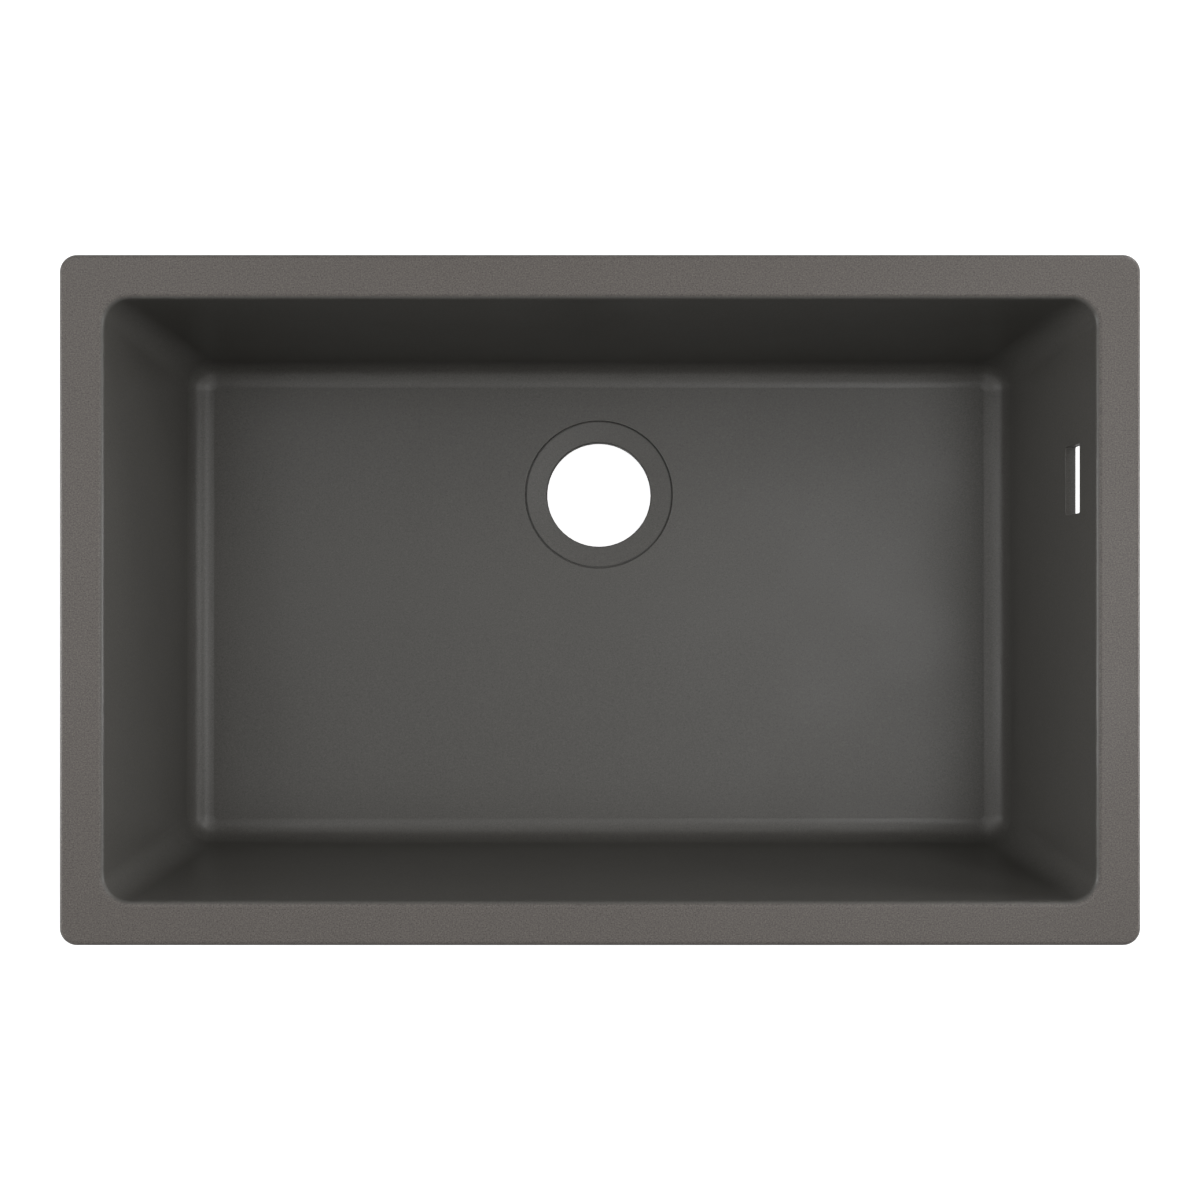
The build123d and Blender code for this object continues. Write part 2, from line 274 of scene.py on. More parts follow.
# %% [markdown]
# ## Screw threads
#
# A thread is a ridge wound up a core. The ridge starts as a triangle, made from a circle of three
# points, and a Screw modifier winds it up the axis by one pitch a turn. Its open ends are filled,
# and the core is then united with it, which gives one closed solid. The same solid is the screw
# in the bolt and, a little larger, the tap that cuts the thread of the insert.

# %% Wind a thread round a core
THREAD_SIDES = 24
THREAD_BITE = 0.1 * MM
SPARE_TURNS = 2
RIDGE_HALF_WIDTH = 0.42  # as a share of the pitch


def threaded_rod(name, core, crest, pitch, bottom, top):
    """A core with a thread wound round it, from bottom to top along Z."""
    bpy.ops.object.select_all(action="DESELECT")
    bpy.ops.mesh.primitive_circle_add(vertices=3, radius=1, rotation=(pi / 2, 0, 0))
    ridge = added_piece(name + "_ridge")
    open_piece(ridge)
    bpy.ops.mesh.select_all(action="SELECT")
    bpy.ops.transform.rotate(value=-pi / 2, orient_axis="Y", center_override=(0, 0, 0))
    bpy.ops.object.mode_set(mode="OBJECT")
    tip = max(point.co.x for point in ridge.data.vertices)
    triangle_height, half_side = 1.5 * tip, tip * cos(pi / 6)
    root = core - THREAD_BITE
    scale_out = (crest - root) / triangle_height
    scale_up = RIDGE_HALF_WIDTH * pitch / half_side
    ridge.data.transform(Matrix.Diagonal((scale_out, 1, scale_up, 1)))
    ridge.data.transform(Matrix.Translation((crest - scale_out * tip, 0, bottom + pitch)))
    step = ridge.modifiers.new("winding", "SCREW")
    step.axis = "Z"
    step.angle = tau
    step.screw_offset = pitch
    step.iterations = int((top - bottom) / pitch) - SPARE_TURNS
    step.steps = THREAD_SIDES
    step.render_steps = THREAD_SIDES
    apply_step(ridge, step)
    open_piece(ridge)
    bpy.ops.mesh.select_mode(type="EDGE")
    bpy.ops.mesh.select_non_manifold()
    bpy.ops.mesh.fill_holes(sides=3)
    close_piece()
    rod = turned_part(name, THREAD_SIDES, [(core, bottom), (core, top)])
    shape_with(rod, ridge, "UNION")
    return rod


# %% [markdown]
# ## One of each, then ten
#
# The small parts repeat at every station, so each is modelled once, about the station's own axis
# with the boss's face at height 0, and then set down ten times. Every copy gets its own mesh with
# its place in the points, because the model's own nodes are kept that way too. A bolt is never
# tightened to the same angle twice, so each station adds its own small turn.

# %% Set a pattern down at its stations
BOLT_TURN = radians(37)


def set_down(pattern, name, place, turn, body, slot, *nodes):
    """Sets down a copy of a pattern, turned and moved to its place, that rides on a body."""
    piece = pattern.copy()
    piece.name = name
    piece.data = pattern.data.copy()
    piece.data.name = name
    piece.data.transform(Matrix.Translation(place) @ turn)
    bpy.context.collection.objects.link(piece)
    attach(piece, body)
    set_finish(piece, slot)
    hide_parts(*nodes)


def set_down_all(pattern, name, slot, node):
    """Fixes the pattern to the bowl at every station, turned a little more each time."""
    for number, (place, heading) in enumerate(stations.values(), start=1):
        turn = Matrix.Rotation(heading + number * BOLT_TURN, 4, "Z")
        set_down(pattern, f"{name}_{number:02d}", place, turn, "bowl", slot, node)
    print(len(stations), name, "with", len(pattern.data.polygons), "faces each")
    bpy.data.objects.remove(pattern)


# %% [markdown]
# ## Heights in the stack
#
# From the boss down, a station holds the clip, a plain washer, a split washer and the bolt's
# head, and the insert lies above in the boss. Their boxes in the frame give every height.

# %% Measure the stack below one boss
boss_face = stations["mounting_clip_01"][0].z


def heights(node):
    """Lowest and highest point of a node, measured from the boss's face."""
    low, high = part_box(node)
    return low.z - boss_face, high.z - boss_face


insert_low, insert_high = heights("clip_inserts")
washer_low, washer_high = heights("clip_washers")
split_low, split_high = heights("clip_lock_washers")
head_low, bolt_tip = heights("clip_bolts")
head_seat = split_low
print("head from", round(head_low / MM, 2), "to", round(head_seat / MM, 2), "mm")

# %% [markdown]
# ## Brass inserts
#
# The casting is too brittle for threads of its own, so a brass insert is moulded into each boss.
# Two knurled bands and a waist between them lock it in the stone. The knurl starts as rings of
# points on the turned blank, and every second point of a ring, shifted by one from ring to ring,
# is pushed in. That leaves the little pyramids that a knurling wheel leaves.

# %% Turn a blank and knurl its bands
KNURL_ROWS = 5
KNURL_DEPTH = 0.18 * MM
INSERT_CHAMFER = 0.3 * MM


def banded_blank(name, sides, radius, waist, low, high, waist_share):
    """A turned blank with two bands of rings for the knurl, and a waist between them."""
    half_waist = (high - low) * waist_share / 2
    middle = (low + high) / 2
    bands = [
        (low + INSERT_CHAMFER, middle - half_waist),
        (middle + half_waist, high - INSERT_CHAMFER),
    ]
    steps = [(radius - INSERT_CHAMFER, low)]
    for band_low, band_high in bands:
        for row in range(KNURL_ROWS + 1):
            steps.append((radius, band_low + (band_high - band_low) * row / KNURL_ROWS))
        if band_low < middle:
            steps.append((waist, middle - half_waist + INSERT_CHAMFER))
            steps.append((waist, middle + half_waist - INSERT_CHAMFER))
    steps.append((radius - INSERT_CHAMFER, high))
    return turned_part(name, sides, steps), bands


def knurl(piece, sides, radius, band_low, band_high):
    """Pushes in every second point of the rings between two heights."""
    row_height = (band_high - band_low) / KNURL_ROWS

    def pushed_in(point):
        if not band_low - row_height / 2 < point.z < band_high + row_height / 2:
            return False
        column = round(atan2(point.y, point.x) / tau * sides)
        row = round((point.z - band_low) / row_height)
        return point.xy.length > radius - KNURL_DEPTH / 2 and (row + column) % 2 == 1

    open_piece(piece)
    pick_points(piece, pushed_in)
    shrink = 1 - KNURL_DEPTH / radius
    bpy.ops.transform.resize(value=(shrink, shrink, 1), center_override=(0, 0, 0))
    close_piece()


# %% Tap the inserts and mould ten in
KNURL_SIDES = 48
INSERT_RADIUS = 4.5 * MM
INSERT_WAIST = 4.0 * MM
WAIST_SHARE = 0.23
M6_CORE = 2.42 * MM
M6_CREST = 2.95 * MM
M6_PITCH = 1.0 * MM
TAP_PLAY = 0.04 * MM
TURNS_PAST = 3
SMOOTH_BELOW = radians(30)

insert, bands = banded_blank(
    "insert", KNURL_SIDES, INSERT_RADIUS, INSERT_WAIST, insert_low, insert_high, WAIST_SHARE
)
for band in bands:
    knurl(insert, KNURL_SIDES, INSERT_RADIUS, *band)
thread_start = insert_low - M6_PITCH * TURNS_PAST
tap = threaded_rod(
    "m6_tap",
    M6_CORE + TAP_PLAY,
    M6_CREST + TAP_PLAY,
    M6_PITCH,
    thread_start,
    insert_high - M6_PITCH,
)
shape_with(insert, tap, "DIFFERENCE")
bpy.ops.object.shade_smooth_by_angle(angle=SMOOTH_BELOW)
set_down_all(insert, "clip_insert", "brass", "clip_inserts")

# %% [markdown]
# ## Hex bolts
#
# A bolt's head is a hexagon whose corners were turned off by a cone. So the head here is a
# six-sided cylinder with its upright edges bevelled, and a cone trims it: what both share is the
# head. On its inner side a turned washer face stands a little proud. A plain neck and the
# threaded rod make the shank.

# %% Trim a hexagon to a bolt's head
HEAD_FLATS = 10 * MM
HEAD_EDGE = 0.2 * MM
HEAD_CROWN = 9.4 * MM
CROWN_SLOPE = radians(30)
CROWN_SIDES = 96
WASHER_FACE_HEIGHT = 0.3 * MM

head_height = head_seat - head_low
bpy.ops.object.select_all(action="DESELECT")
bpy.ops.mesh.primitive_cylinder_add(
    vertices=6,
    radius=HEAD_FLATS / 2 / cos(pi / 6),
    depth=head_height - WASHER_FACE_HEIGHT,
    location=(0, 0, head_low + (head_height - WASHER_FACE_HEIGHT) / 2),
)
bolt = added_piece("hex_bolt")
open_piece(bolt)
pick_edges(bolt, lambda middle, run: abs(run.z) > run.xy.length)
bpy.ops.mesh.bevel(offset=HEAD_EDGE, segments=2)
close_piece()
crown_reach = head_height / sin(CROWN_SLOPE) * cos(CROWN_SLOPE)
bpy.ops.object.select_all(action="DESELECT")
bpy.ops.mesh.primitive_cone_add(
    vertices=CROWN_SIDES,
    radius1=HEAD_CROWN / 2,
    radius2=HEAD_CROWN / 2 + crown_reach,
    depth=head_height,
    location=(0, 0, head_low + head_height / 2),
)
crown = added_piece("crown_cone")
shape_with(bolt, crown, "INTERSECT")
print("bolt's head:", len(bolt.data.polygons), "faces")

# %% Add the shank and fit ten bolts
WASHER_FACE = 9.2 * MM
SHANK_NECK = 0.8 * MM
ROUND_SIDES = 64

washer_face = turned_part(
    "washer_face",
    ROUND_SIDES,
    [
        (WASHER_FACE / 2, head_seat - 2 * WASHER_FACE_HEIGHT),
        (WASHER_FACE / 2, head_seat),
    ],
)
shape_with(bolt, washer_face, "UNION")
shank = threaded_rod("shank", M6_CORE, M6_CREST, M6_PITCH, thread_start, bolt_tip)
neck = turned_part(
    "neck",
    THREAD_SIDES * 2,
    [(M6_CREST, head_seat - WASHER_FACE_HEIGHT), (M6_CREST, head_seat + SHANK_NECK)],
)
shape_with(bolt, neck, "UNION")
shape_with(bolt, shank, "UNION")
bpy.ops.object.shade_smooth_by_angle(angle=SMOOTH_BELOW)
set_down_all(bolt, "hex_bolt", "zinc_steel", "clip_bolts")

# %% [markdown]
# ## Plain washers
#
# A washer is punched from sheet. A turned disc gets its chamfered rim, both its faces are inset
# to the size of the hole, and bridging the two inner faces opens the hole through.

# %% Punch ten washers
WASHER_RADIUS = 6 * MM
WASHER_HOLE = 3.2 * MM
WASHER_EDGE = 0.2 * MM
WASHER_SOFTNESS = 0.08 * MM
FLAT = 0.99

washer = turned_part(
    "washer",
    ROUND_SIDES,
    [
        (WASHER_RADIUS - WASHER_EDGE, washer_low),
        (WASHER_RADIUS, washer_low + WASHER_EDGE),
        (WASHER_RADIUS, washer_high - WASHER_EDGE),
        (WASHER_RADIUS - WASHER_EDGE, washer_high),
    ],
)
open_piece(washer)
pick_faces(washer, lambda middle, normal: abs(normal.z) > FLAT)
bpy.ops.mesh.inset(thickness=WASHER_RADIUS - WASHER_EDGE - WASHER_HOLE)
bpy.ops.mesh.bridge_edge_loops()
close_piece()
soften_edges(washer, WASHER_SOFTNESS)
set_down_all(washer, "plain_washer", "zinc_steel", "clip_washers")

# %% [markdown]
# ## Split washers
#
# A split washer is a square wire wound once and cut off at a slant. A small plane stands where
# the wire is cut, and Spin carries it round the axis, clockwise and short of a full turn. The
# open start is filled, and its upper edge is pushed towards the other end to slant the cut.

# %% Wind ten split washers
SPLIT_OUTER = 5.5 * MM
SPLIT_INNER = 3.15 * MM
SPLIT_GAP = 1.0 * MM
SPLIT_SLANT = 0.5 * MM
SPLIT_STEPS = 56
SPLIT_SOFTNESS = 0.12 * MM
UPPER_EDGE = 0.1 * MM
TOUCHING = 0.001 * MM

wire_middle = (SPLIT_OUTER + SPLIT_INNER) / 2
split_height = split_high - split_low
half_gap = SPLIT_GAP / 2 / wire_middle
bpy.ops.object.select_all(action="DESELECT")
bpy.ops.mesh.primitive_plane_add(size=1, rotation=(pi / 2, 0, 0))
bpy.context.object.scale = (SPLIT_OUTER - SPLIT_INNER, split_height, 1)
bpy.context.object.location = (wire_middle, 0, (split_low + split_high) / 2)
split_washer = added_piece("split_washer")
split_washer.data.transform(Matrix.Rotation(half_gap, 4, "Z"))
open_piece(split_washer)
bpy.ops.mesh.select_all(action="SELECT")
bpy.ops.mesh.spin(
    steps=SPLIT_STEPS, angle=tau - 2 * half_gap, center=(0, 0, 0), axis=(0, 0, 1)
)
bpy.ops.mesh.select_all(action="SELECT")
bpy.ops.mesh.remove_doubles(threshold=TOUCHING)
bpy.ops.mesh.select_mode(type="EDGE")
bpy.ops.mesh.select_all(action="DESELECT")
bpy.ops.mesh.select_non_manifold()
bpy.ops.mesh.fill_holes(sides=4)
pick_points(
    split_washer,
    lambda point: point.x > 0 and abs(point.y) < SPLIT_GAP and point.z > split_high - UPPER_EDGE,
)
bpy.ops.transform.translate(value=(0, SPLIT_SLANT, 0))
close_piece()
soften_edges(split_washer, SPLIT_SOFTNESS)
set_down_all(split_washer, "split_washer", "zinc_steel", "clip_lock_washers")

# %% [markdown]
# ## Mounting clips
#
# A clip is a strap of pressed steel: round about its bolt, bent down at the far end, with a bead
# pressed along it for stiffness. It is modelled as the press makes it. A flat blank, half a disc
# drawn out to a strap, is bent by spinning its end round the bend, and Solidify gives the sheet
# its thickness on both sides of that middle surface. Then the corners are rounded, the bead is
# pressed and the holes are punched. Last, a narrow bevel breaks the sheared edges.
#
# One fault is left in it. Spin turns against the sign of its angle, so the end folds back under
# the strap. The bent tab with its corners is missing, and even offset draws the fold out, so the
# strap reaches 65 mm from its bolt and not 44. The clip of the CAD model has its tab. An angle of
# -pi / 2 in the spin bends the end down as it should.

# %% Cut the blank
CLIP_HALF_WIDTH = 8 * MM
CLIP_SHEET = 2.5 * MM
NEAR = 0.01 * MM

sheet_middle = -CLIP_SHEET / 2
bpy.ops.object.select_all(action="DESELECT")
bpy.ops.mesh.primitive_circle_add(
    vertices=ROUND_SIDES, radius=CLIP_HALF_WIDTH, fill_type="NGON", location=(0, 0, sheet_middle)
)
clip = added_piece("mounting_clip")
open_piece(clip)
bpy.ops.mesh.select_all(action="SELECT")
bpy.ops.mesh.bisect(plane_co=(0, 0, 0), plane_no=(1, 0, 0), clear_outer=True)


def pick_far_edge():
    """Selects the straight edge at the far end of the strap."""
    far = max(point.co.x for point in bmesh.from_edit_mesh(clip.data).verts)
    low = min(point.co.z for point in bmesh.from_edit_mesh(clip.data).verts)
    pick_edges(
        clip,
        lambda middle, run: abs(run.y) > CLIP_HALF_WIDTH
        and middle.x > far - NEAR
        and middle.z < low + NEAR,
    )


# %% Draw it out, bend it and give it thickness
CLIP_REACH = 44 * MM
CLIP_BEND = 1.5 * MM
CLIP_DROP = 8.5 * MM
BEND_STEPS = 8

bend_radius = CLIP_BEND + CLIP_SHEET / 2
bend_start = CLIP_REACH - CLIP_SHEET - CLIP_BEND
pick_far_edge()
bpy.ops.mesh.extrude_region_move(TRANSFORM_OT_translate={"value": (bend_start, 0, 0)})
bpy.ops.mesh.spin(
    steps=BEND_STEPS,
    angle=pi / 2,
    center=(bend_start, 0, sheet_middle - bend_radius),
    axis=(0, 1, 0),
)
pick_far_edge()
tab_fall = CLIP_DROP + sheet_middle - bend_radius
bpy.ops.mesh.extrude_region_move(TRANSFORM_OT_translate={"value": (0, 0, -tab_fall)})
close_piece()
sheet = clip.modifiers.new("sheet", "SOLIDIFY")
sheet.thickness = CLIP_SHEET
sheet.offset = 0
sheet.use_even_offset = True
apply_step(clip, sheet)
print("bent blank:", len(clip.data.polygons), "faces")

# %% Round the corners and press the bead
CLIP_CORNER = 3 * MM
CORNER_SEGMENTS = 8
BEAD_START = 8.5 * MM
BEAD_END = 27.5 * MM
BEAD_HALF_WIDTH = 3.2 * MM
BEAD_RISE = 1.0 * MM
BEAD_DEPTH = 0.8 * MM
BEAD_SIDES = 32


def bead_form(name, half_width, half_height, height):
    """A long round form: a sphere parted in the middle, drawn out and flattened."""
    bpy.ops.object.select_all(action="DESELECT")
    bpy.ops.mesh.primitive_uv_sphere_add(
        segments=BEAD_SIDES, ring_count=BEAD_SIDES // 2, radius=half_width
    )
    form = added_piece(name)
    form.data.transform(Matrix.Rotation(pi / 2, 4, "Y"))
    open_piece(form)
    pick_points(form, lambda point: point.x > -TOUCHING)
    draw_out = BEAD_END - BEAD_START - 2 * BEAD_HALF_WIDTH
    bpy.ops.transform.translate(value=(draw_out, 0, 0))
    bpy.ops.mesh.select_all(action="SELECT")
    bpy.ops.transform.resize(value=(1, 1, half_height / half_width), center_override=(0, 0, 0))
    bpy.ops.transform.translate(value=(BEAD_START + BEAD_HALF_WIDTH, 0, height))
    close_piece()
    return form


open_piece(clip)
pick_edges(
    clip,
    lambda middle, run: abs(run.x) > CLIP_SHEET / 2
    and abs(middle.y) > CLIP_HALF_WIDTH - NEAR
    and middle.z < -CLIP_DROP + NEAR,
)
bpy.ops.mesh.bevel(offset=CLIP_CORNER, segments=CORNER_SEGMENTS)
close_piece()
bead = bead_form("bead", BEAD_HALF_WIDTH, 2 * BEAD_RISE, -CLIP_SHEET + BEAD_RISE)
shape_with(clip, bead, "UNION")
groove = bead_form("bead_groove", BEAD_HALF_WIDTH - BEAD_RISE, 2 * BEAD_DEPTH, BEAD_DEPTH)
shape_with(clip, groove, "DIFFERENCE")
print("pressed clip:", len(clip.data.polygons), "faces")

# %% Punch the holes and break the edges
PIVOT_HOLE = 3.3 * MM
SCREW_HOLE = 3.5 * MM
SCREW_REACH = 34 * MM
HOLE_SIDES = 48
CLIP_SOFTNESS = 0.2 * MM

for hole_name, hole_radius, reach in (
    ("pivot_hole", PIVOT_HOLE, 0),
    ("screw_hole", SCREW_HOLE, SCREW_REACH),
):
    punch = turned_part(
        hole_name, HOLE_SIDES, [(hole_radius, -2 * CLIP_SHEET), (hole_radius, CLIP_SHEET)]
    )
    punch.data.transform(Matrix.Translation((reach, 0, 0)))
    shape_with(clip, punch, "DIFFERENCE")
soften_edges(clip, CLIP_SOFTNESS)
print("finished clip:", len(clip.data.polygons), "faces")

# %% [markdown]
# ## How far from the bolt
#
# A clip turns under its washer, and that polishes a ring about the hole. A finish can only follow
# that ring if each point of the clip knows how far it is from the bolt. So the pattern stores the
# distance as an attribute of its points, which every copy takes along wherever it is set down.

# %% Store the distance and fit ten clips
distance = clip.data.attributes.new("from_bolt", "FLOAT", "POINT")
for point in clip.data.vertices:
    distance.data[point.index].value = point.co.xy.length
for clip_name, (place, heading) in stations.items():
    turn = Matrix.Rotation(heading, 4, "Z")
    set_down(clip, clip_name + "_pressed", place, turn, clip_name, "clip_steel", clip_name)
reach = max(point.co.x for point in clip.data.vertices)
print(len(stations), "clips, each reaching", round(reach / MM, 2), "mm from its bolt")
bpy.data.objects.remove(clip)

# %% [markdown]
# ## Overflow inserts
#
# Two smaller inserts take the screws of the overflow elbow, one on each side of its seat. They
# are knurled like the large ones, and turned on their side, because they point out of the wall.

# %% Turn the overflow inserts
M4_CORE = 1.62 * MM
M4_CREST = 1.97 * MM
M4_PITCH = 0.7 * MM
SMALL_KNURL_SIDES = 32
SMALL_WAIST = 0.88  # as a share of the radius
SMALL_WAIST_SHARE = 0.25

small_low, small_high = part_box("overflow_inserts")
small_radius = (small_high.z - small_low.z) / 2
small_length = small_high.x - small_low.x
small, small_bands = banded_blank(
    "overflow_insert",
    SMALL_KNURL_SIDES,
    small_radius,
    SMALL_WAIST * small_radius,
    0,
    small_length,
    SMALL_WAIST_SHARE,
)
for band in small_bands:
    knurl(small, SMALL_KNURL_SIDES, small_radius, *band)
small_tap = threaded_rod(
    "m4_tap", M4_CORE, M4_CREST, M4_PITCH, M4_PITCH, small_length + TURNS_PAST * M4_PITCH
)
shape_with(small, small_tap, "DIFFERENCE")
bpy.ops.object.shade_smooth_by_angle(angle=SMOOTH_BELOW)
middle_z = (small_low.z + small_high.z) / 2
turn_out = Matrix.Rotation(pi / 2, 4, "Y")
for side, insert_y in (
    ("front", small_low.y + small_radius),
    ("rear", small_high.y - small_radius),
):
    place = (small_low.x, insert_y, middle_z)
    set_down(small, f"overflow_insert_{side}", place, turn_out, "bowl", "brass", "overflow_inserts")
    print("overflow insert,", side, "at y", round(insert_y, 4))
bpy.data.objects.remove(small)

# %% [markdown]
# ## Finishes from nodes
#
# Every finish here is procedural: it is worked out from each point's place, so it has no image
# and no seams. Effects that more than one finish needs are node groups, built once. A group puts
# out only shades and heights. Each material keeps its own shader and sets its own values.


# %% Short ways to add and join nodes
def plug(tree, source, socket):
    """Joins an output to a socket, or sets the socket where the source is a plain value."""
    if isinstance(source, bpy.types.NodeSocket):
        tree.links.new(source, socket)
    else:
        socket.default_value = source


def plug_named(tree, node, sources):
    """Plugs each source into the node's input of that name, and gives the node back."""
    for name, source in sources.items():
        plug(tree, source, node.inputs[name])
    return node


def add_node(tree, kind, **sources):
    """Adds a node with its sources."""
    return plug_named(tree, tree.nodes.new(kind), sources)


def maths(tree, operation, *terms):
    """A Math node on sockets or numbers, and its output."""
    node = tree.nodes.new("ShaderNodeMath")
    node.operation = operation
    for term, socket in zip(terms, node.inputs):
        plug(tree, term, socket)
    return node.outputs[0]


def spread(tree, value, from_low, from_high, to_low=0.0, to_high=1.0):
    """Maps a range onto another with soft ends."""
    node = tree.nodes.new("ShaderNodeMapRange")
    node.interpolation_type = "SMOOTHSTEP"
    ranges = {
        "Value": value,
        "From Min": from_low,
        "From Max": from_high,
        "To Min": to_low,
        "To Max": to_high,
    }
    return plug_named(tree, node, ranges).outputs["Result"]


# %% Short ways to mix colours
# A Mix node has a set of sockets for each kind of data. These are the ones for colours.
MIX_SHARE, MIX_FIRST, MIX_SECOND, MIX_RESULT = 0, 6, 7, 2


def blend_colours(tree, share, first, second, way="MIX"):
    """Mixes two colours by a share that changes over the surface."""
    node = tree.nodes.new("ShaderNodeMix")
    node.data_type = "RGBA"
    node.blend_type = way
    plug(tree, share, node.inputs[MIX_SHARE])
    plug(tree, first, node.inputs[MIX_FIRST])
    plug(tree, second, node.inputs[MIX_SECOND])
    return node.outputs[MIX_RESULT]


def shaded(tree, colour, shade):
    """Multiplies a colour by a shade that changes over the surface."""
    grey = add_node(tree, "ShaderNodeCombineXYZ", X=shade, Y=shade, Z=shade)
    return blend_colours(tree, 1.0, colour, grey.outputs["Vector"], "MULTIPLY")


# %% Short ways to build and place a node group
FLOAT = "NodeSocketFloat"
VECTOR = "NodeSocketVector"


def new_group(name, inputs, outputs):
    """An empty node group with named inputs and outputs, and its two end nodes."""
    group = bpy.data.node_groups.new(name, "ShaderNodeTree")
    for socket_name, kind, value in inputs:
        socket = group.interface.new_socket(socket_name, in_out="INPUT", socket_type=kind)
        if value is not None:
            socket.default_value = value
    for socket_name in outputs:
        group.interface.new_socket(socket_name, in_out="OUTPUT", socket_type=FLOAT)
    return group, group.nodes.new("NodeGroupInput"), group.nodes.new("NodeGroupOutput")


def place_group(tree, group, **sources):
    """Puts a node group into a material and plugs in its values."""
    node = tree.nodes.new("ShaderNodeGroup")
    node.node_tree = group
    return plug_named(tree, node, sources)


# %% [markdown]
# ## Mineral grain
#
# The stone is fine quartz sand in resin. From a metre away it reads as a soft mottle of about a
# millimetre, and close up single grains stand out lighter or darker. Noise gives the mottle and
# the cells of a Voronoi pattern give the grains, because each cell has a random colour of its own.

# %% Build the grain group
GRAIN_LIGHT = 0.9
GRAIN_DARK = 0.1
GRAIN_EDGE = 0.03
NOISE_MIDDLE = 0.5
LIGHT_GRAIN_RELIEF = 0.4

grain_group, entry, leaving = new_group(
    "mineral_grain",
    [
        ("Place", VECTOR, None),
        ("Size", FLOAT, 0.001),
        ("Mottle", FLOAT, 0.1),
        ("Specks", FLOAT, 0.1),
    ],
    ["Shade", "Relief"],
)
density = maths(grain_group, "DIVIDE", 1.0, entry.outputs["Size"])
mottle = add_node(
    grain_group,
    "ShaderNodeTexNoise",
    Vector=entry.outputs["Place"],
    Scale=density,
    Detail=3.0,
    Roughness=0.65,
).outputs["Fac"]
cells = add_node(
    grain_group, "ShaderNodeTexVoronoi", Vector=entry.outputs["Place"], Scale=density
)
cell = add_node(grain_group, "ShaderNodeSeparateColor", Color=cells.outputs["Color"])
light = spread(grain_group, cell.outputs["Red"], GRAIN_LIGHT, GRAIN_LIGHT + GRAIN_EDGE)
dark = spread(grain_group, cell.outputs["Red"], GRAIN_DARK, GRAIN_DARK - GRAIN_EDGE)
speck = maths(grain_group, "SUBTRACT", light, dark)
speck = maths(grain_group, "MULTIPLY", speck, entry.outputs["Specks"])
swing = maths(grain_group, "SUBTRACT", mottle, NOISE_MIDDLE)
swing = maths(grain_group, "MULTIPLY", swing, entry.outputs["Mottle"])
shade = maths(grain_group, "ADD", maths(grain_group, "ADD", swing, speck), 1.0)
plug(grain_group, shade, leaving.inputs["Shade"])
raised = maths(grain_group, "MULTIPLY", light, LIGHT_GRAIN_RELIEF)
plug(grain_group, maths(grain_group, "ADD", mottle, raised), leaving.inputs["Relief"])
print(grain_group.name, "has", len(grain_group.nodes), "nodes")

# %% [markdown]
# ## Slow clouds
#
# No surface is as even as a paint chip. Handling, moulding and plating leave broad, faint
# clouds in both shade and gloss, so one group gives a slow value between two limits.

# %% Build the cloud group
CLOUD_FROM = 0.3
CLOUD_TO = 0.7

cloud_group, entry, leaving = new_group(
    "slow_cloud",
    [("Place", VECTOR, None), ("Size", FLOAT, 0.1), ("Low", FLOAT, 0.0), ("High", FLOAT, 1.0)],
    ["Value"],
)
slow = add_node(
    cloud_group,
    "ShaderNodeTexNoise",
    Vector=entry.outputs["Place"],
    Scale=maths(cloud_group, "DIVIDE", 1.0, entry.outputs["Size"]),
    Detail=2.0,
    Roughness=0.5,
)
cloud = spread(
    cloud_group,
    slow.outputs["Fac"],
    CLOUD_FROM,
    CLOUD_TO,
    entry.outputs["Low"],
    entry.outputs["High"],
)
plug(cloud_group, cloud, leaving.inputs["Value"])
print(cloud_group.name, "has", len(cloud_group.nodes), "nodes")

# %% [markdown]
# ## Where the casting was finished
#
# The rim's face, which meets the worktop, is given a lighter, warmer tone and a stronger grain than
# the bowl.
# The bowl keeps the smooth skin of its polished mould, and the outside, which nobody sees once
# the sink is fitted, comes from a plain mould and is duller. A group tells the three apart by
# place: the rim's face lies at height 0, and the outside lies beyond the middle of the walls.

# %% Build the group that tells the faces apart
RIM_REACH = 29.2 * MM
SIDE_LEAN = tan(radians(3.0))
FRONT_LEAN = tan(radians(4.2))
HALF_WALL = 4 * MM
FACE_BLEND = 1 * MM
RIM_FACE_DEPTH = 1.2 * MM
RIM_UNDER = 10 * MM
BASE_MIDDLE = 197 * MM

face_group, entry, leaving = new_group(
    "casting_faces", [("Place", VECTOR, None)], ["Ground", "Outside"]
)
rim_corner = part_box("bowl")[1]
along = add_node(face_group, "ShaderNodeSeparateXYZ", Vector=entry.outputs["Place"])
depth = maths(face_group, "MULTIPLY", along.outputs["Z"], -1.0)


def beyond_wall(axis, half_size, lean):
    """How far a point lies outside the inner face of the walls across one axis."""
    wall = maths(face_group, "MULTIPLY_ADD", depth, -lean, half_size)
    return maths(face_group, "SUBTRACT", maths(face_group, "ABSOLUTE", along.outputs[axis]), wall)


outward = maths(
    face_group,
    "MAXIMUM",
    beyond_wall("X", rim_corner.x - RIM_REACH, SIDE_LEAN),
    beyond_wall("Y", rim_corner.y - RIM_REACH, FRONT_LEAN),
)
outside_wall = spread(face_group, outward, HALF_WALL - FACE_BLEND, HALF_WALL + FACE_BLEND)
below_rim = spread(face_group, depth, RIM_UNDER, RIM_UNDER + FACE_BLEND)
under_base = spread(face_group, depth, BASE_MIDDLE - FACE_BLEND, BASE_MIDDLE + FACE_BLEND)
outside = maths(
    face_group, "MAXIMUM", maths(face_group, "MULTIPLY", outside_wall, below_rim), under_base
)
plug(face_group, outside, leaving.inputs["Outside"])
plug(face_group, spread(face_group, depth, RIM_FACE_DEPTH, 0.0), leaving.inputs["Ground"])
print(face_group.name, "has", len(face_group.nodes), "nodes")

